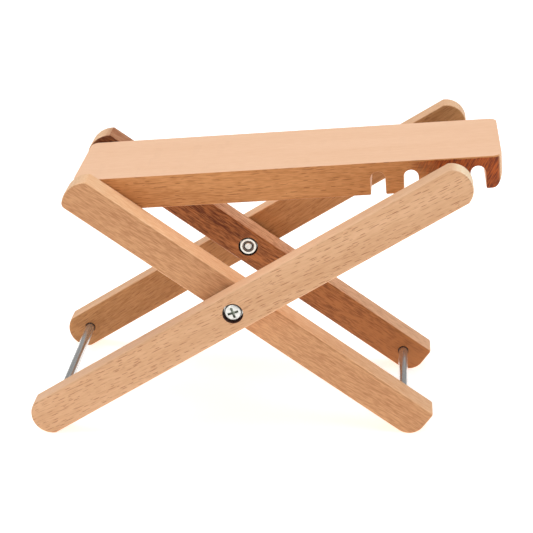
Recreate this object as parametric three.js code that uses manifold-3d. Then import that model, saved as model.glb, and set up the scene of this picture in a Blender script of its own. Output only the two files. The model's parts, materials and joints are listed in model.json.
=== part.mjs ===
// Folding wooden footstool: a foot board on two pairs of crossed legs, set to height by
// dropping one of four notches under the board over a steel rod.
// Millimetres. +Z up, +X along the board towards its notched end, -Y the front.
import * as THREE from 'three';
import Module from 'manifold-3d';

const wasm = await Module();
wasm.setup();

// ---- driving dimensions -------------------------------------------------
const WIDTH = 120;              // over the outer faces of the outer legs
const OUTER_HALF = 10;          // half the height of an outer leg seen from the side
const OUTER_THICK = 12;
const OUTER_END_RADIUS = 10.8;  // rounded ends of the outer legs
const OUTER_FOOT = 123.4;       // pivot to the foot end of an outer leg
const OUTER_HEAD = 136.8;       // pivot to its upper end
const OUTER_TILT = THREE.MathUtils.degToRad(32.6);
const INNER_HALF = 9.2;
const INNER_THICK = 15;
const INNER_FOOT = 118.8;
const INNER_HEAD = 102.4;
const INNER_FOOT_CORNERS = { below: 9.2, above: 1.6 };
const INNER_HEAD_ARC = { radius: 13.1, below: 1.6, corner: 1.6 };  // centred below the leg's middle
const LEG_GAP = 1.8;            // between an outer and an inner leg
const EDGE = 1.4;               // eased edges of the legs

const ROD_RADIUS = 2.5;
const FIT = 0.3;                // clearance all round every rod, bolt and washer
const ROD_HOLE_DEPTH = 8;
const OUTER_ROD_AT = 110.4;     // pivot to the rod between the outer feet
const INNER_ROD_AT = 105.8;     // pivot to the rod between the inner feet
const NOTCH_ROD_AT = 122.5;     // pivot to the rod the board rests on
const HINGE_AT = 89.5;          // pivot to the board's hinge rod

const BOARD_LEFT = 9.7;         // hinge to the plain end of the board
const BOARD_RIGHT = 206.6;      // hinge to the hooked end
const BOARD_THICK = 17;
const HINGE_BELOW_TOP = 8;
const BOARD_SIDE_GAP = 0.4;     // board to each inner leg
const BOARD_EDGE = 0.4;
const BOARD_CORNER = 5;         // corners of the board seen from above
const HOOK_ROUND = { along: 5.4, up: 9.5 };  // lower corner of the hooked end
const NOTCH_COUNT = 4;
const NOTCH_IN_USE = 3;         // counted from the hinge
const NOTCH_WIDTH = 7.5;
const NOTCH_PITCH = 16.65;
const NOTCH_ROOF = 5;           // wood left above a notch
const NOTCH_PLAY = 0.4;         // rod to the middle of the notch it sits in

const SHANK_RADIUS = 2.15;
const HEAD_RADIUS = 4.3;
const HEAD_HEIGHT = 2.8;
const SINK_RADIUS = 5.25;       // counterbores for screw heads and nuts
const HEAD_SINK = 5.2;
const NUT_SINK = 6.2;
const WASHER_RADIUS = 4.9;
const WASHER_THICK = 0.8;
const SPACER_RADIUS = 6.5;
const NUT_ACROSS_FLATS = 8;
const NUT_HEIGHT = 3.2;
const NUT_COLLAR = 1.1;
const COLLAR_RADIUS = 4.4;
const NYLON_RADIUS = 3.05;
const ROUND = 32;               // facets of a small round piece

// ---- positions that follow from them -----------------------------------
// The inner legs lean until the rounds of all four feet touch one floor.
const footDrop = (OUTER_FOOT - OUTER_END_RADIUS) * Math.sin(OUTER_TILT) + OUTER_END_RADIUS;
const INNER_TILT = Math.asin((footDrop - INNER_HALF) / (INNER_FOOT - INNER_HALF));
const outerFace = WIDTH / 2;
const outerInside = outerFace - OUTER_THICK;
const innerFace = outerInside - LEG_GAP;
const innerInside = innerFace - INNER_THICK;
const boardHalf = innerInside - BOARD_SIDE_GAP;
const hinge = new THREE.Vector2(-HINGE_AT * Math.cos(INNER_TILT), HINGE_AT * Math.sin(INNER_TILT));
const notchRod = new THREE.Vector2(Math.cos(OUTER_TILT), Math.sin(OUTER_TILT)).multiplyScalar(NOTCH_ROD_AT);
const rodBelowTop = NOTCH_ROOF + NOTCH_WIDTH / 2;
const rodRise = HINGE_BELOW_TOP - rodBelowTop;
const span = hinge.distanceTo(notchRod);
const boardTilt = Math.atan2(notchRod.y - hinge.y, notchRod.x - hinge.x) - Math.asin(rodRise / span);
const notchInUseAt = Math.sqrt(span * span - rodRise * rodRise) + NOTCH_PLAY;

// ---- materials ----------------------------------------------------------
const wood = (color) => ({ color, roughness: 0.6, metalness: 0 });
const OUTER_WOOD = wood(0xd6aa80);
const INNER_WOOD = wood(0xc08c62);
const BOARD_WOOD = wood(0xe6bf98);
const STEEL = { color: 0xaeb0b2, roughness: 0.32, metalness: 1 };
const ZINC = { color: 0xd4d8dc, roughness: 0.25, metalness: 1 };
const NYLON = { color: 0x4a4e52, roughness: 0.5, metalness: 0 };

// ---- helpers ------------------------------------------------------------
function solid(geometry) {
  const g = geometry.index ? geometry.toNonIndexed() : geometry.clone();
  const raw = g.attributes.position.array;
  const ids = new Map();
  const vertices = [];
  const triangles = [];
  for (let i = 0; i < raw.length; i += 9) {
    const corner = [0, 3, 6].map((k) => {
      const p = [raw[i + k], raw[i + k + 1], raw[i + k + 2]];
      const key = p.map((value) => Math.round(value * 1e4)).join();
      if (!ids.has(key)) {
        ids.set(key, vertices.length / 3);
        vertices.push(...p);
      }
      return ids.get(key);
    });
    if (new Set(corner).size === 3) triangles.push(...corner);
  }
  return new wasm.Manifold(new wasm.Mesh({
    numProp: 3,
    vertProperties: new Float32Array(vertices),
    triVerts: new Uint32Array(triangles),
  }));
}

function toGeometry(manifold) {
  const mesh = manifold.getMesh();
  const g = new THREE.BufferGeometry();
  g.setAttribute('position', new THREE.BufferAttribute(new Float32Array(mesh.vertProperties), 3));
  g.setIndex(new THREE.BufferAttribute(new Uint32Array(mesh.triVerts), 1));
  const flat = g.toNonIndexed();
  flat.computeVertexNormals();
  return flat;
}

// A cylinder along Y between two depths.
function pin(radius, x, z, y0, y1, facets = ROUND) {
  const g = new THREE.CylinderGeometry(radius, radius, Math.abs(y1 - y0), facets);
  g.translate(x, (y0 + y1) / 2, z);
  return g;
}

// A side profile in x and z, extruded in y between two depths with eased edges.
function slab(shape, y0, y1, edge, bevelSegments = 3) {
  const g = new THREE.ExtrudeGeometry(shape, {
    depth: y1 - y0 - 2 * edge,
    curveSegments: 14,
    bevelThickness: edge,
    bevelSize: edge,
    bevelOffset: -edge,
    bevelSegments,
  });
  g.rotateX(Math.PI / 2);
  g.translate(0, y1 - edge, 0);
  return g;
}

// An outer leg seen from the side: a bar with a shallow round on each end.
function outerShape() {
  const [half, r] = [OUTER_HALF, OUTER_END_RADIUS];
  const a = Math.asin(half / r);
  const shape = new THREE.Shape();
  shape.moveTo(-OUTER_FOOT + r - r * Math.cos(a), -half);
  shape.absarc(OUTER_HEAD - r, 0, r, -a, a, false);
  shape.absarc(-OUTER_FOOT + r, 0, r, Math.PI - a, Math.PI + a, false);
  return shape;
}

// A rectangle whose corners have their own radii, anticlockwise from the lower left.
function cornered(x0, x1, y0, y1, radii) {
  const [a, b, c, d] = radii;
  const shape = new THREE.Shape();
  shape.moveTo(x0 + a, y0);
  shape.absarc(x1 - b, y0 + b, b, -Math.PI / 2, 0, false);
  shape.absarc(x1 - c, y1 - c, c, 0, Math.PI / 2, false);
  shape.absarc(x0 + d, y1 - d, d, Math.PI / 2, Math.PI, false);
  shape.absarc(x0 + a, y0 + a, a, Math.PI, Math.PI * 1.5, false);
  return shape;
}

// An inner leg: a square upper foot corner over a round lower one, and a shallow round
// across the head that meets the top edge at a corner.
function innerShape() {
  const half = INNER_HALF;
  const { below, above } = INNER_FOOT_CORNERS;
  const { radius, below: drop, corner } = INNER_HEAD_ARC;
  const centre = radius - INNER_HEAD;
  const from = Math.PI - Math.asin((half + drop) / radius);
  const to = Math.PI + Math.asin((half - drop - corner) / radius);
  const edgeAt = centre - Math.sqrt(radius ** 2 - (half - drop) ** 2);
  const shape = new THREE.Shape();
  shape.moveTo(edgeAt + corner, -half);
  shape.absarc(INNER_FOOT - below, -half + below, below, -Math.PI / 2, 0, false);
  shape.absarc(INNER_FOOT - above, half - above, above, 0, Math.PI / 2, false);
  shape.lineTo(centre + radius * Math.cos(from), half);
  shape.absarc(centre, -drop, radius, from, to, false);
  shape.quadraticCurveTo(edgeAt, -half, edgeAt + corner, -half);
  return shape;
}

const group = new THREE.Group();
group.name = 'folding_footstool';

function add(name, geometry, finish) {
  const mesh = new THREE.Mesh(geometry, new THREE.MeshStandardMaterial(finish));
  mesh.name = name;
  mesh.material.name = name;
  group.add(mesh);
}

// Swing about the pivot line, which is the Y axis until the part is set on the floor.
const tilted = (geometry, angle) => geometry.rotateY(angle);

// ---- legs ---------------------------------------------------------------
// Each leg lies along X about the pivot and between depths near and far, then is tilted.
// Its rod holes are blind, cut from the face that looks at the middle of the footstool.
function leg({ shape, inside, outside, rodsAt, sinkFromOutside, sinkDepth, side, tilt }) {
  const [near, far] = side < 0 ? [-outside, -inside] : [inside, outside];
  let body = solid(slab(shape, near, far, EDGE, 4));
  body = body.subtract(solid(pin(SHANK_RADIUS + FIT, 0, 0, near - 1, far + 1)));
  const face = side * (sinkFromOutside ? outside : inside);
  const into = sinkFromOutside ? -side : side;
  body = body.subtract(solid(pin(SINK_RADIUS, 0, 0, face - into, face + into * sinkDepth, 48)));
  for (const x of rodsAt) {
    const cut = pin(ROD_RADIUS + FIT, x, 0, side * (inside - 1), side * (inside + ROD_HOLE_DEPTH));
    body = body.subtract(solid(cut));
  }
  return tilted(toGeometry(body), tilt);
}

for (const [place, side] of [['front', -1], ['back', 1]]) {
  add(`outer_leg_${place}`, leg({
    shape: outerShape(), inside: outerInside, outside: outerFace, side, tilt: -OUTER_TILT,
    rodsAt: [-OUTER_ROD_AT, NOTCH_ROD_AT], sinkFromOutside: true, sinkDepth: HEAD_SINK,
  }), OUTER_WOOD);
  add(`inner_leg_${place}`, leg({
    shape: innerShape(), inside: innerInside, outside: innerFace, side, tilt: INNER_TILT,
    rodsAt: [-HINGE_AT, INNER_ROD_AT], sinkFromOutside: false, sinkDepth: NUT_SINK,
  }), INNER_WOOD);
}

// ---- cross rods, with chamfered ends ------------------------------------
function rod(x, halfLength) {
  const r = ROD_RADIUS;
  const c = 0.5;
  const profile = [
    [0, -halfLength], [r - c, -halfLength], [r, -halfLength + c],
    [r, halfLength - c], [r - c, halfLength], [0, halfLength],
  ].map(([a, b]) => new THREE.Vector2(a, b));
  const g = new THREE.LatheGeometry(profile, ROUND);
  return toGeometry(solid(g)).translate(x, 0, 0);
}

const outerReach = outerInside + ROD_HOLE_DEPTH - FIT;
const innerReach = innerInside + ROD_HOLE_DEPTH - FIT;
add('outer_foot_rod', tilted(rod(-OUTER_ROD_AT, outerReach), -OUTER_TILT), STEEL);
add('notch_rod', tilted(rod(NOTCH_ROD_AT, outerReach), -OUTER_TILT), STEEL);
add('inner_foot_rod', tilted(rod(INNER_ROD_AT, innerReach), INNER_TILT), STEEL);
add('hinge_rod', tilted(rod(-HINGE_AT, innerReach), INNER_TILT), STEEL);

// ---- board --------------------------------------------------------------
// Side profile about the hinge, going round anticlockwise from the plain end's underside.
function boardShape() {
  const top = HINGE_BELOW_TOP;
  const under = top - BOARD_THICK;
  const half = NOTCH_WIDTH / 2;
  const roofCentre = top - NOTCH_ROOF - half;
  const soft = 2;
  const shape = new THREE.Shape();
  shape.moveTo(-BOARD_LEFT + soft, under);
  for (let i = 1; i <= NOTCH_COUNT; i += 1) {
    const x = notchInUseAt + (i - NOTCH_IN_USE) * NOTCH_PITCH;
    shape.lineTo(x - half - BOARD_EDGE, under);
    shape.lineTo(x - half, under + BOARD_EDGE);
    shape.lineTo(x - half, roofCentre);
    shape.absarc(x, roofCentre, half, Math.PI, 0, true);
    shape.lineTo(x + half, under + BOARD_EDGE);
    shape.lineTo(x + half + BOARD_EDGE, under);
  }
  const hook = HOOK_ROUND;
  shape.lineTo(BOARD_RIGHT - hook.along, under);
  shape.absellipse(BOARD_RIGHT - hook.along, under + hook.up, hook.along, hook.up, -Math.PI / 2, 0, false);
  shape.lineTo(BOARD_RIGHT, top);
  shape.lineTo(-BOARD_LEFT, top);
  shape.lineTo(-BOARD_LEFT, under + soft);
  shape.absarc(-BOARD_LEFT + soft, under + soft, soft, Math.PI, Math.PI * 1.5, false);
  return shape;
}

// The outline from above: a rectangle with rounded corners, as an upright prism.
function boardPlan() {
  const r = BOARD_CORNER;
  const shape = cornered(-BOARD_LEFT, BOARD_RIGHT, -boardHalf, boardHalf, [r, r, r, r]);
  const g = new THREE.ExtrudeGeometry(shape, { depth: 40, bevelEnabled: false, curveSegments: 10 });
  return g.translate(0, 0, -20);
}

const boardBlock = solid(slab(boardShape(), -boardHalf, boardHalf, BOARD_EDGE))
  .intersect(solid(boardPlan()))
  .subtract(solid(pin(ROD_RADIUS + FIT, 0, 0, -boardHalf - 1, boardHalf + 1)));
add('top_board', tilted(toGeometry(boardBlock), -boardTilt).translate(hinge.x, 0, hinge.y), BOARD_WOOD);

// ---- pivot fasteners ----------------------------------------------------
// Depths are counted outwards from the middle of the footstool, then sent to one side.
function ring(outer, inner, from, to) {
  const body = solid(pin(outer, 0, 0, from, to)).subtract(solid(pin(inner, 0, 0, from - 1, to + 1)));
  return toGeometry(body);
}

function bolt(tip, under, top) {
  const r = HEAD_RADIUS;
  const points = [
    [0, tip], [SHANK_RADIUS - 0.4, tip], [SHANK_RADIUS, tip + 0.4], [SHANK_RADIUS, under],
    [r, under], [r, top - 0.8], [r * 0.97, top - 0.45], [r * 0.86, top - 0.18],
    [r * 0.5, top - 0.04], [0, top],
  ].map(([a, b]) => new THREE.Vector2(a, b));
  let body = solid(new THREE.LatheGeometry(points, ROUND));
  for (const turn of [0.35, 0.35 + Math.PI / 2]) {
    const arm = new THREE.BoxGeometry(5.6, 3.2, 1.25).rotateY(turn).translate(0, top, 0);
    body = body.subtract(solid(arm));
  }
  return toGeometry(body);
}

// A lock nut: a hexagon with a round collar that holds a nylon ring.
function nut(from, to) {
  const hexagon = new THREE.CylinderGeometry(1, 1, NUT_HEIGHT, 6);
  const corner = NUT_ACROSS_FLATS / Math.sqrt(3);
  hexagon.scale(corner, 1, corner).translate(0, to - NUT_HEIGHT / 2, 0);
  const body = solid(hexagon)
    .add(solid(pin(COLLAR_RADIUS, 0, 0, from, to - NUT_HEIGHT + 0.5)))
    .subtract(solid(pin(SHANK_RADIUS + FIT, 0, 0, from - 1, to + 1)))
    .subtract(solid(pin(NYLON_RADIUS + FIT, 0, 0, from - 1, from + NUT_COLLAR + 0.3)));
  return toGeometry(body);
}

const headTop = outerFace - 1;
const headUnder = headTop - HEAD_HEIGHT;
const sinkFloor = outerFace - HEAD_SINK;
const nutFloor = innerInside + NUT_SINK;
const nutSeat = nutFloor - 2 * FIT - WASHER_THICK;
const nutTip = nutSeat - NUT_HEIGHT - NUT_COLLAR;
for (const [place, side] of [['front', -1], ['back', 1]]) {
  // Turning half round about Z sends +Y to -Y and keeps every piece facing outwards.
  const put = (name, geometry, finish) => {
    if (side < 0) geometry.rotateZ(Math.PI);
    add(`${name}_${place}`, geometry, finish);
  };
  put('pivot_bolt', bolt(innerInside + 0.5, headUnder, headTop), ZINC);
  const washer = (from) => ring(WASHER_RADIUS, SHANK_RADIUS + FIT, from, from + WASHER_THICK);
  put('head_washer', washer(sinkFloor + FIT), ZINC);
  put('leg_spacer', ring(SPACER_RADIUS, SHANK_RADIUS + FIT, innerFace + FIT, outerInside - FIT), NYLON);
  put('nut_washer', washer(nutFloor - FIT - WASHER_THICK), ZINC);
  put('lock_nut', nut(nutTip, nutSeat), ZINC);
  put('nylon_ring', ring(NYLON_RADIUS, SHANK_RADIUS + FIT, nutTip + 0.2, nutTip + NUT_COLLAR), NYLON);
}

// ---- set the part on the floor, centred -----------------------------------
const box = new THREE.Box3().setFromObject(group);
const shift = new THREE.Vector3(-(box.min.x + box.max.x) / 2, -(box.min.y + box.max.y) / 2, -box.min.z);
for (const mesh of group.children) mesh.geometry.translate(shift.x, shift.y, shift.z);

export default group;
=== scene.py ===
"""Folding beech footstool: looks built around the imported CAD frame."""
import json
import math
import bmesh
import bpy
from mathutils import Matrix, Vector


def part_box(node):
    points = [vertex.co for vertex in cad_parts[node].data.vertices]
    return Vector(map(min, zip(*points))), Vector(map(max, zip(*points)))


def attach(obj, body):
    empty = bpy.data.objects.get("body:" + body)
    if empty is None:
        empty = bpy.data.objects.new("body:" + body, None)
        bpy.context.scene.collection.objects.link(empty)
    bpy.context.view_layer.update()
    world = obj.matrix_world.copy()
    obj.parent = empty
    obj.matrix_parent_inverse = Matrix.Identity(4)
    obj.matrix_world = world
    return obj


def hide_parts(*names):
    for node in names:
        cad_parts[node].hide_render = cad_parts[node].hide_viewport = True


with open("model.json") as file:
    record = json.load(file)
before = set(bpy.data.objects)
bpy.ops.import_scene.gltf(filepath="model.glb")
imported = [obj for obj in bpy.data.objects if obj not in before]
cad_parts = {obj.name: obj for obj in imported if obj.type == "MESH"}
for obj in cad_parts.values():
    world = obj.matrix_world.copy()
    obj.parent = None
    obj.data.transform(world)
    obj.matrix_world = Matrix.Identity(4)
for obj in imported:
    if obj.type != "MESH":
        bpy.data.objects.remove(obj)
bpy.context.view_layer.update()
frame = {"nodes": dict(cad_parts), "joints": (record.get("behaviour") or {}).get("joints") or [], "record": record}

scene = bpy.context.scene
MM = 0.001

# ---- places that come from the frame ----------------------------------------


def middle(node):
    low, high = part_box(node)
    return (low + high) / 2


joints = {j["name"]: j for j in frame["joints"]}
pivot = Vector(joints["leg_fold"]["pos_m"])
hinge = Vector(joints["board_swing"]["pos_m"])


def along(start, end):
    """The direction from start to end in the side view."""
    return Vector((end.x - start.x, 0, end.z - start.z)).normalized()


MOSTLY_UP = 0.9                      # the least Z of a normal that counts as looking upwards


def largest_face_up(node):
    """The normal of the largest of the node's faces that look mostly upwards."""
    upward = [p for p in frame["nodes"][node].data.polygons if p.normal.z > MOSTLY_UP]
    return max(upward, key=lambda p: p.area).normal.copy()


outer_along = along(middle("outer_foot_rod"), middle("notch_rod"))
inner_along = along(middle("hinge_rod"), middle("inner_foot_rod"))
board_up = largest_face_up("top_board")
board_along = Vector((board_up.z, 0, -board_up.x)).normalized()

# ---- camera -------------------------------------------------------------------
LENS = 113.36                        # millimetres, as the sensor's width
SENSOR = 36
AZIMUTH, ELEVATION, ROLL = (math.radians(a) for a in (4.266, 22.35, 0.07))
DISTANCE = 0.8943                    # metres
AIM = pivot + Vector((12.468, 0, 1.393)) * MM    # what it looks at

back = Vector((math.sin(AZIMUTH) * math.cos(ELEVATION),
               -math.cos(AZIMUTH) * math.cos(ELEVATION),
               math.sin(ELEVATION)))
camera = bpy.data.objects.new("camera", bpy.data.cameras.new("camera"))
scene.collection.objects.link(camera)
camera.data.lens = LENS
camera.data.sensor_width = SENSOR
camera.location = AIM + back * DISTANCE
right = Vector((math.cos(AZIMUTH), math.sin(AZIMUTH), 0))
up = back.cross(right)
rolled = math.cos(ROLL) * right + math.sin(ROLL) * up
camera.rotation_euler = Matrix((rolled, back.cross(rolled), back)).transposed().to_euler()
scene.camera = camera

# ---- shader helpers -------------------------------------------------------------


class Nodes:
    """A short way to write a node tree."""

    def __init__(self, tree):
        self.tree = tree

    def add(self, kind, values=None, **settings):
        node = self.tree.nodes.new(kind)
        for key, value in settings.items():
            setattr(node, key, value)
        for key, value in (values or {}).items():
            if isinstance(value, bpy.types.NodeSocket):
                self.tree.links.new(value, node.inputs[key])
            else:
                node.inputs[key].default_value = value
        return node

    def math(self, operation, *values, clamp=False):
        node = self.add("ShaderNodeMath", dict(enumerate(values)), operation=operation,
                        use_clamp=clamp)
        return node.outputs[0]

    def plus(self, a, b, clamp=False):
        return self.math("ADD", a, b, clamp=clamp)

    def minus(self, a, b):
        return self.math("SUBTRACT", a, b)

    def times(self, a, b):
        return self.math("MULTIPLY", a, b)

    def length(self, a, b):
        """The length of the flat vector (a, b)."""
        return self.math("SQRT", self.plus(self.times(a, a), self.times(b, b)))

    def about_half(self, value, weight):
        """A noise value as a swing about nought, at the given weight."""
        return self.times(self.minus(value, 0.5), weight)

    def smooth(self, value, low, high, out_low=0.0, out_high=1.0):
        node = self.add("ShaderNodeMapRange", {0: value, 1: low, 2: high, 3: out_low, 4: out_high},
                        interpolation_type="SMOOTHSTEP")
        return node.outputs[0]

    def split(self, vector):
        """The X, Y and Z of a vector."""
        return self.add("ShaderNodeSeparateXYZ", {0: vector}).outputs

    def stretch(self, vector, scale, offset=(0, 0, 0)):
        return self.add("ShaderNodeMapping", {0: vector, 1: offset, 3: scale}).outputs[0]

    def turn(self, vector, angle, offset=(0, 0, 0), kind="POINT"):
        """The vector turned about Y."""
        node = self.add("ShaderNodeMapping", {0: vector, 1: offset, 2: (0, angle, 0)},
                        vector_type=kind)
        return node.outputs[0]

    def noise(self, vector, scale, detail, roughness=0.5, distortion=0.0):
        """Noise with the given number of cells a metre along X, Y and Z."""
        node = self.add("ShaderNodeTexNoise", {
            "Vector": self.stretch(vector, scale), "Scale": 1.0, "Detail": detail,
            "Roughness": roughness, "Distortion": distortion})
        return node.outputs[0]

    def mix(self, factor, a, b):
        node = self.add("ShaderNodeMix", {0: factor, 6: a, 7: b}, data_type="RGBA")
        return node.outputs[2]

    def bump(self, shader, height, strength, distance):
        node = self.add("ShaderNodeBump",
                        {"Strength": strength, "Distance": distance, "Height": height})
        self.tree.links.new(node.outputs[0], shader.inputs["Normal"])

    def drive(self, shader, socket, value):
        self.tree.links.new(value, shader.inputs[socket])


def srgb(r, g, b):
    """A colour given in screen values 0 to 255, as the linear colour a shader wants."""
    return tuple((v / 255 / 12.92) if v / 255 <= 0.04045 else ((v / 255 + 0.055) / 1.055) ** 2.4
                 for v in (r, g, b)) + (1.0,)


def dimmed(colour, factor):
    return tuple(c * factor for c in colour[:3]) + (1.0,)


def new_material(name):
    material = bpy.data.materials.new(name)
    material.use_nodes = True
    tree = material.node_tree
    shader = tree.nodes["Principled BSDF"]
    return material, Nodes(tree), shader


# ---- beech ------------------------------------------------------------------
# Every wooden piece is painted in its own coordinates, turned so that X runs along the grain,
# with Y across the footstool. Rays are thin ribbons that lie in X and Y, so they show as short
# dashes on the faces that look along Y and barely on the others.
DASHES = (
    # cells a metre, half length and half width of a dash in cells, share of cells, shift
    ((150, 60, 470), 0.36, 0.078, 0.82, 0.0),
    ((210, 75, 800), 0.34, 0.100, 0.28, 3.7),
)
DASH_SCATTER = 0.72                  # 0 puts the dashes in rows, 1 throws them about
DASH_LENGTHS = (0.55, 1.25)          # the shortest and longest, as shares of the length above
DASH_FADE = (0.45, 1.5)              # squared distances from its middle over which one fades
DASH_FAINTEST = 0.35                 # as a share of the strongest
DASH_OFF_FACE = 0.03                 # how much of one shows on the sides that don't look along Y

# Patterns in the wood: cells a metre along X, Y and Z, detail, and then roughness and
# distortion where they aren't the usual ones.
WAVE = ((16, 16, 40), 1)
BROAD = ((9, 70, 90), 3, 0.5, 0.3)
BANDS = ((11, 200, 420), 4, 0.6, 0.5)
STRANDS = ((210, 1500, 1750), 2, 0.5)
FIBRE = ((90, 1500, 2400), 3, 0.65)
PORES = ((500, 1400, 1400), 3, 0.6)
WAVE_HEIGHT = 1.8 * MM               # how far the wave moves the other patterns along Z
SEED_STEP = (0.173, 0.071, 0.113)    # how far one step of the seed moves them, in metres
STRAND_RANGE = (0.34, 0.66)          # noise values that become the lightest and the darkest
PORE_RANGE = (0.3, 0.7)
BROAD_WEIGHT, BANDS_WEIGHT, FIBRE_WEIGHT = 1.1, 1.3, 1.6
MIDDLE_TONE = 0.45                   # 0 is the light colour and 1 the dark one
DRIFT_OVER = 100 * MM                # the length over which drift is measured

# A rounded edge changes colour between these parts of its normal along Y, and along X.
FACE_FROM, FACE_FULL = 0.55, 0.85
END_FROM, END_FULL = 0.45, 0.9
END_GRAIN = (srgb(246, 208, 170), srgb(222, 172, 128))

WOOD_ROUGHNESS, FIBRE_ROUGHNESS, RAY_ROUGHNESS = 0.46, 0.16, 0.08
FIBRE_HEIGHT, RAY_HEIGHT, STRAND_HEIGHT = 0.5, 0.9, 0.3
WOOD_BUMP, WOOD_DEPTH = 0.2, 0.2 * MM
WOOD_SHINE = 0.25
HOLE_SHADE_STRENGTH = 0.97                        # how far the painted shade in a drilled hole hides the wood
HOLE_SHADE_FROM = 0.02 * MM              # the painted shade starts this far inside the hole's radius


def dashes(n, at, amount):
    """A mask of short lines along the grain, one in each kept cell."""
    masks = []
    for size, half_length, half_width, share, shift in DASHES:
        where = n.stretch(at, size, (shift, shift, shift))
        cell = n.add("ShaderNodeTexVoronoi",
                     {"Vector": where, "Scale": 1.0, "Randomness": DASH_SCATTER},
                     voronoi_dimensions="3D")
        away = n.add("ShaderNodeVectorMath", {0: where, 1: cell.outputs["Position"]},
                     operation="SUBTRACT").outputs[0]
        x, _, z = n.split(away)
        pick = n.add("ShaderNodeSeparateColor", {0: cell.outputs["Color"]}).outputs
        length = n.times(n.smooth(pick[2], 0, 1, *DASH_LENGTHS), half_length)
        u = n.math("DIVIDE", x, length)
        v = n.math("DIVIDE", z, half_width)
        near = n.smooth(n.plus(n.times(u, u), n.times(v, v)), *DASH_FADE, 1, 0)
        kept = n.math("LESS_THAN", pick[0], share * amount)
        weight = n.smooth(pick[1], 0, 1, DASH_FAINTEST, 1)
        masks.append(n.times(n.times(near, kept), weight))
    return n.math("MAXIMUM", *masks)


def paint_hole_shade(n, colour, place, hollow):
    """The colour with painted shade in one drilled hole and just past its rim."""
    start, radius, rim, shadow_colour, nearest, farthest = hollow
    x, y, z = n.split(place)
    # painted shade inside the hole and just past its rim
    in_shadow = n.smooth(n.length(n.minus(x, start), z), radius - HOLE_SHADE_FROM, radius + rim, 1, 0)
    depth = n.math("ABSOLUTE", y)
    reached = n.times(n.math("GREATER_THAN", depth, nearest), n.math("LESS_THAN", depth, farthest))
    return n.mix(n.times(n.times(in_shadow, reached), HOLE_SHADE_STRENGTH), colour, shadow_colour)


def beech(name, lengthwise, seed, face, edge, ray, end=END_GRAIN, ray_amount=0.5,
          ray_strength=0.6, streak=0.5, lines=0.4, slope=0.0, drift=0.0, hollows=(), heart=None):
    """face, edge and end are (light, dark) colours: face for the sides that look along Y, edge
    for the top and bottom, and end for the sides that cut across the grain. The face colours are
    darker than the edge colours partly from the grain and partly as painted shade, for sides that
    get less light. lengthwise is the way the grain runs, slope turns the pattern about Y in
    degrees, and drift is how much lighter the wood grows towards +X in each 100 mm."""
    material, n, shader = new_material(name)
    coords = n.add("ShaderNodeTexCoord").outputs
    tilt = math.atan2(lengthwise.z, lengthwise.x)
    place = n.turn(coords["Object"], tilt)
    facing = n.split(n.turn(coords["Normal"], tilt, kind="VECTOR"))
    sloped = n.turn(place, math.radians(slope), tuple(seed * step for step in SEED_STEP))
    lift = n.about_half(n.noise(sloped, *WAVE), WAVE_HEIGHT)
    at = n.add("ShaderNodeVectorMath", {
        0: sloped, 1: n.add("ShaderNodeCombineXYZ", {2: lift}).outputs[0]}).outputs[0]

    strands = n.smooth(n.noise(at, *STRANDS), *STRAND_RANGE)
    fibre = n.noise(at, *FIBRE)
    tone = n.plus(n.about_half(n.noise(at, *BROAD), BROAD_WEIGHT),
                  n.about_half(n.noise(at, *BANDS), BANDS_WEIGHT * streak))
    tone = n.plus(tone, n.about_half(fibre, FIBRE_WEIGHT * streak))
    tone = n.plus(tone, n.about_half(strands, lines))
    tone = n.plus(tone, n.times(n.split(place)[0], -drift / DRIFT_OVER))
    tone = n.plus(tone, MIDDLE_TONE, clamp=True)

    # The sides that look along Y take the face colours, darker than the top and bottom partly from the grain there
    # and partly as painted shade.
    on_face = n.smooth(n.math("ABSOLUTE", facing[1]), FACE_FROM, FACE_FULL)
    on_end = n.smooth(n.math("ABSOLUTE", facing[0]), END_FROM, END_FULL)
    end_tone = n.smooth(n.noise(at, *PORES), *PORE_RANGE)
    sides = n.mix(on_end, n.mix(tone, *edge), n.mix(end_tone, *end))
    colour = n.mix(on_face, sides, n.mix(tone, *face))
    rays = n.times(dashes(n, at, ray_amount), n.smooth(on_face, 0, 1, DASH_OFF_FACE, 1))
    colour = n.mix(n.times(rays, ray_strength), colour, ray)
    if heart is not None:
        colour = heart(n, place, colour, on_face)
    for hollow in hollows:
        colour = paint_hole_shade(n, colour, place, hollow)

    n.drive(shader, "Base Color", colour)
    rough = n.plus(n.times(fibre, FIBRE_ROUGHNESS), WOOD_ROUGHNESS)
    n.drive(shader, "Roughness", n.plus(rough, n.times(rays, RAY_ROUGHNESS)))
    height = n.minus(n.times(fibre, FIBRE_HEIGHT), n.times(rays, RAY_HEIGHT))
    n.bump(shader, n.minus(height, n.times(strands, STRAND_HEIGHT)), WOOD_BUMP, WOOD_DEPTH)
    shader.inputs["Specular IOR Level"].default_value = WOOD_SHINE
    return material


HEART_EDGE = ((110, 10, 60), 4, 0.65)
HEART_STREAKS = ((180, 60, 1700), 3, 0.6)
HEART_STREAK_RANGE = (0.36, 0.64)
HEART_STREAK_SLOPE = math.radians(60)
HEART_COLOURS = (srgb(180, 84, 26), srgb(104, 36, 8))
HEART_LEAN = 0.8                     # how far its start moves back for each step up
HEART_FADE = 22 * MM                 # along the board
HEART_TOP = (7.9 * MM, 8.3 * MM)     # heights over which it ends
HEART_RAGGED_START, HEART_RAGGED_TOP = 16 * MM, 1.8 * MM
HEART_STRENGTH = 0.95


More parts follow.
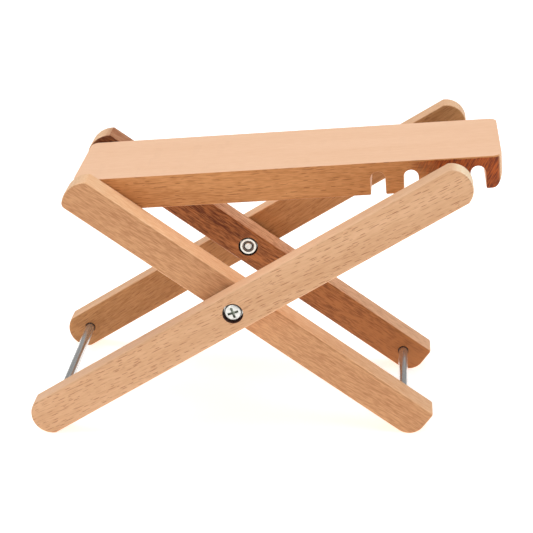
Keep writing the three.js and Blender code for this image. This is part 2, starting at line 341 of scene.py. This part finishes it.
def board_heart(start):
    """Dark heartwood in the side of the board's hooked end, from start along the board, with a
    ragged upper edge and slanting streaks."""
    def paint(n, place, colour, on_face):
        x, _, z = n.split(place)
        ragged = n.noise(place, *HEART_EDGE)
        leaning = n.plus(n.plus(x, n.times(ragged, HEART_RAGGED_START)), n.times(z, HEART_LEAN))
        reach = n.smooth(leaning, start, start + HEART_FADE)
        below = n.smooth(n.plus(z, n.times(ragged, HEART_RAGGED_TOP)), *HEART_TOP, 1, 0)
        streaks = n.noise(n.turn(place, HEART_STREAK_SLOPE), *HEART_STREAKS)
        heartwood = n.mix(n.smooth(streaks, *HEART_STREAK_RANGE), *HEART_COLOURS)
        mask = n.times(n.times(reach, below), on_face)
        return n.mix(n.times(mask, HEART_STRENGTH), colour, heartwood)
    return paint


BORE = 5.25 * MM
ROD_HOLE = 2.8 * MM
HOLE_RIM = 0.25 * MM                 # how far the painted shade spreads past the hole
THROUGH = 1                          # a depth in metres beyond any piece
# painted shade colours for the holes: the wall of the screw head's bore, the nut's bore, and the ring around each
# rod
MAROON, SHADOW_BLACK, BROWN = srgb(70, 20, 16), srgb(24, 10, 8), srgb(84, 46, 28)


def leg_depths(node):
    """How far the middle and the outer face of a back leg lie from the footstool's middle."""
    low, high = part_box(node)
    return (low.y + high.y) / 2, high.y


def rod_hole(node, lengthwise, outside):
    """A blind hole: it stops short of the leg's outer face."""
    start = (middle(node) - pivot).dot(lengthwise)
    return (start, ROD_HOLE, HOLE_RIM, BROWN, 0, outside - MM)


outer_middle, outer_outside = leg_depths("outer_leg_back")
inner_middle, inner_outside = leg_depths("inner_leg_back")

# place along the grain, radius, rim, painted shade colour, and the depths between which it shows
OUTER_HOLLOWS = ((0, BORE, 0.10 * MM, MAROON, outer_middle, THROUGH),
                 rod_hole("outer_foot_rod", outer_along, outer_outside),
                 rod_hole("notch_rod", outer_along, outer_outside))
INNER_HOLLOWS = ((0, BORE, 0.35 * MM, SHADOW_BLACK, 0, inner_middle),
                 rod_hole("inner_foot_rod", inner_along, inner_outside),
                 rod_hole("hinge_rod", inner_along, inner_outside))
BOARD_HOLLOWS = ((0, ROD_HOLE, HOLE_RIM, BROWN, 0, THROUGH),)

# node: its own origin, which way its grain runs, and its wood
WOODEN = {
    "outer_leg_front": (pivot, outer_along, dict(
        seed=3, slope=-5, streak=0.35, lines=0.3, hollows=OUTER_HOLLOWS,
        face=(srgb(224, 178, 138), srgb(200, 150, 108)),
        edge=(srgb(240, 196, 158), srgb(214, 168, 130)),
        # end: lighter than the usual end grain, as painted light where the rounded end catches the light
        end=(srgb(255, 236, 206), srgb(246, 212, 172)),
        ray=srgb(146, 84, 42), ray_amount=1.0, ray_strength=0.78)),
    # outer_leg_back: the same beech as the front leg, with darker face and ray colours as painted shade for the
    # leg that gets less light
    "outer_leg_back": (pivot, outer_along, dict(
        seed=11, slope=4, streak=0.45, hollows=OUTER_HOLLOWS,
        face=(srgb(190, 138, 88), srgb(154, 102, 58)),
        edge=(srgb(240, 196, 156), srgb(216, 166, 124)),
        ray=srgb(112, 62, 36), ray_amount=0.6, ray_strength=0.6)),
    "inner_leg_front": (pivot, inner_along, dict(
        seed=7, slope=2, streak=0.5, lines=0.6, hollows=INNER_HOLLOWS,
        face=(srgb(216, 162, 116), srgb(180, 124, 82)),
        edge=(srgb(250, 204, 160), srgb(228, 172, 124)),
        ray=srgb(136, 80, 44), ray_amount=0.35, ray_strength=0.35)),
    # inner_leg_back: the same beech as the front leg, with much darker face, edge and ray colours as painted shade
    # for the leg that gets less light
    "inner_leg_back": (pivot, inner_along, dict(
        seed=19, slope=1, streak=0.6, lines=0.6, drift=0.5, hollows=INNER_HOLLOWS,
        face=(srgb(180, 114, 64), srgb(92, 42, 10)),
        edge=(srgb(236, 188, 148), srgb(166, 106, 70)),
        ray=srgb(84, 38, 18), ray_amount=0.4, ray_strength=0.45)),
    "top_board": (hinge, board_along, dict(
        seed=5, streak=0.45, lines=0.4, hollows=BOARD_HOLLOWS, heart=board_heart(168 * MM),
        # face: the board's sides are darker than its top, partly in their own colour and partly as painted shade
        face=(srgb(212, 148, 92), srgb(172, 108, 56)),
        edge=(srgb(246, 202, 168), srgb(238, 190, 152)),
        ray=srgb(120, 62, 28), ray_amount=0.7, ray_strength=0.7)),
}


# ---- metal and nylon ------------------------------------------------------------
MARK_NOISE = (3, 0.6)                # detail and roughness
SPECKS = ((700, 700, 700), 4, 0.7)
MARK_RANGE = (0.35, 0.68)
MARK_SHADE = 0.42                    # how bright the darkest mark is, as a share of the metal
MARK_ROUGHNESS = 0.18
METAL_DEPTH = 0.06 * MM
RECESS_FADE = 0.4 * MM
# painted shade for the cross in a screw head's top
RECESS_SHADE = srgb(128, 134, 122)

NYLON_GRAIN = ((900, 900, 900), 4, 0.6)
NYLON_SHADE = 0.6
NYLON_ROUGHNESS, GRAIN_ROUGHNESS = 0.4, 0.2
NYLON_BUMP, NYLON_DEPTH = 0.25, 0.05 * MM


def steel(name, base, roughness, scale, lines, scratch=0.2, dull=0.0, metallic=1.0, recess=None):
    """scale is the cells a metre of the marks in the metal, lines how dark they are, scratch how
    deep they look and dull how dark the specks are. Along the rods the dark lengthwise lines are
    partly drawing marks and partly painted reflection. recess is (radius, near, far): how wide and
    how deep along Y the cross in a screw head lies, which is coloured with painted shade."""
    material, n, shader = new_material(name)
    place = n.add("ShaderNodeTexCoord").outputs["Object"]
    marks_and_reflection = n.noise(place, scale, *MARK_NOISE)
    specks = n.noise(place, *SPECKS)
    marks = n.smooth(marks_and_reflection, *MARK_RANGE)
    shade = n.plus(n.times(marks, lines), n.times(specks, dull), clamp=True)
    colour = n.mix(shade, base, dimmed(base, MARK_SHADE))
    # painted shade in the screw head's cross recess
    if recess is not None:
        radius, near, far = recess
        x, y, z = n.split(place)
        depth = n.math("ABSOLUTE", y)
        sunk = n.times(n.math("GREATER_THAN", depth, near),
                       n.smooth(depth, far - RECESS_FADE, far, 1, 0))
        inside = n.times(n.math("LESS_THAN", n.length(x, z), radius), sunk)
        colour = n.mix(inside, colour, RECESS_SHADE)
    n.drive(shader, "Base Color", colour)
    rough = n.plus(n.times(marks_and_reflection, MARK_ROUGHNESS), roughness - MARK_ROUGHNESS / 2)
    n.drive(shader, "Roughness", rough)
    shader.inputs["Metallic"].default_value = metallic
    n.bump(shader, marks_and_reflection, scratch, METAL_DEPTH)
    return material


def nylon(name, base):
    material, n, shader = new_material(name)
    place = n.add("ShaderNodeTexCoord").outputs["Object"]
    grain = n.noise(place, *NYLON_GRAIN)
    n.drive(shader, "Base Color", n.mix(grain, base, dimmed(base, NYLON_SHADE)))
    n.drive(shader, "Roughness", n.plus(n.times(grain, GRAIN_ROUGHNESS), NYLON_ROUGHNESS))
    n.bump(shader, grain, NYLON_BUMP, NYLON_DEPTH)
    return material


# ---- pieces ---------------------------------------------------------------------
SMOOTH_BELOW = math.cos(math.radians(38))    # faces that turn less than this shade as one
SAME_POINT = 0.002 * MM
FLAT_WITHIN = math.radians(0.4)

bodies = frame["record"]["behaviour"]["bodies"]
body_of_node = {node: body for body, members in bodies.items() for node in members}


def steady_corners(bm):
    """Corner normals that the larger faces decide, so that a flat face shades flat right up to
    its rounded edge."""
    layer = bm.loops.layers.float_vector.new("corner")
    for face in bm.faces:
        for loop in face.loops:
            near = [f for f in loop.vert.link_faces if f.normal.dot(face.normal) > SMOOTH_BELOW]
            loop[layer] = sum((f.normal * f.calc_area() for f in near), Vector()).normalized()


def piece_from_node(node, body, origin):
    """The CAD node's own surface, joined up, about its own origin, with smooth rounds."""
    bm = bmesh.new()
    bm.from_mesh(frame["nodes"][node].data)
    bmesh.ops.translate(bm, vec=-origin, verts=bm.verts)
    bmesh.ops.remove_doubles(bm, verts=bm.verts, dist=SAME_POINT)
    bmesh.ops.dissolve_limit(bm, angle_limit=FLAT_WITHIN, verts=bm.verts, edges=bm.edges)
    bm.normal_update()
    steady_corners(bm)
    bmesh.ops.triangulate(bm, faces=[f for f in bm.faces if len(f.verts) > 4])
    mesh = bpy.data.meshes.new(node + "_look")
    bm.to_mesh(mesh)
    bm.free()
    for polygon in mesh.polygons:
        polygon.use_smooth = True
    corners = [tuple(corner.vector) for corner in mesh.attributes["corner"].data]
    mesh.normals_split_custom_set(corners)
    mesh.attributes.remove(mesh.attributes["corner"])
    piece = bpy.data.objects.new(node + "_look", mesh)
    scene.collection.objects.link(piece)
    piece.location = origin
    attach(piece, body)
    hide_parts(node)
    return piece


for node, (origin, lengthwise, wood) in WOODEN.items():
    piece = piece_from_node(node, body_of_node[node], origin)
    piece.data.materials.append(beech("beech_" + node, lengthwise, **wood))

bolt_low, bolt_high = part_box("pivot_bolt_front")
HEAD_TOP = (bolt_high.y - bolt_low.y) / 2
CROSS_RADIUS, CROSS_FROM, CROSS_TO = 3.3 * MM, HEAD_TOP - 2.2 * MM, HEAD_TOP - 0.1 * MM
ALONG_Y, EVEN = (1300, 12, 1300), (900, 900, 900)

# the rod's dark lengthwise lines are partly drawing marks and partly painted reflection of dark streaks along the
# polished steel
ROD = steel("drawn_steel", srgb(238, 240, 240), 0.26, ALONG_Y, lines=0.75, metallic=0.92)
ZINC = steel("bright_zinc", srgb(240, 240, 232), 0.32, EVEN, lines=0.2, scratch=0.25, dull=0.15)
SCREW = steel("screw_zinc", srgb(226, 226, 220), 0.32, EVEN, lines=0.3, scratch=0.2, dull=0.25,
              recess=(CROSS_RADIUS, CROSS_FROM, CROSS_TO))
NYLON = nylon("nylon", srgb(132, 120, 112))

for node in ("outer_foot_rod", "notch_rod", "inner_foot_rod", "hinge_rod"):
    piece_from_node(node, body_of_node[node], middle(node)).data.materials.append(ROD)
for end in ("front", "back"):
    for name, finish in (("pivot_bolt", SCREW), ("head_washer", ZINC), ("leg_spacer", NYLON),
                         ("nut_washer", ZINC), ("lock_nut", ZINC), ("nylon_ring", NYLON)):
        node = f"{name}_{end}"
        piece_from_node(node, body_of_node[node], middle(node)).data.materials.append(finish)

# ---- floor and light --------------------------------------------------------------
FLOOR = 6                            # metres from its middle to each side
LIT_POINT = Vector((0, 0, 0.07))     # what the lights aim at

floor_mesh = bpy.data.meshes.new("floor")
floor_mesh.from_pydata([(-FLOOR, -FLOOR, 0), (FLOOR, -FLOOR, 0), (FLOOR, FLOOR, 0),
                        (-FLOOR, FLOOR, 0)], [], [(0, 1, 2, 3)])
floor = bpy.data.objects.new("floor", floor_mesh)
scene.collection.objects.link(floor)
paper, _, shader = new_material("paper")
shader.inputs["Base Color"].default_value = (0.93, 0.93, 0.93, 1)
shader.inputs["Roughness"].default_value = 0.9
shader.inputs["Specular IOR Level"].default_value = 0.1
shader.inputs["Emission Color"].default_value = (1, 1, 1, 1)
shader.inputs["Emission Strength"].default_value = 0.55
floor.data.materials.append(paper)


def area(name, place, size, power):
    lamp = bpy.data.lights.new(name, "AREA")
    lamp.shape = "SQUARE"
    lamp.size = size
    lamp.energy = power
    holder = bpy.data.objects.new(name, lamp)
    scene.collection.objects.link(holder)
    holder.location = place
    holder.rotation_euler = (Vector(place) - LIT_POINT).to_track_quat("Z", "Y").to_euler()


area("top_light", (-0.15, 0.1, 1.3), 1.3, 11)
area("front_light", (-0.5, -1.4, 0.6), 1.0, 4.2)
area("side_light", (1.3, -0.3, 0.8), 1.0, 3.4)

world = bpy.data.worlds.new("studio")
world.use_nodes = True
background = world.node_tree.nodes["Background"]
background.inputs["Color"].default_value = (1, 1, 1, 1)
background.inputs["Strength"].default_value = 0.36
scene.world = world
scene.view_settings.view_transform = "Standard"
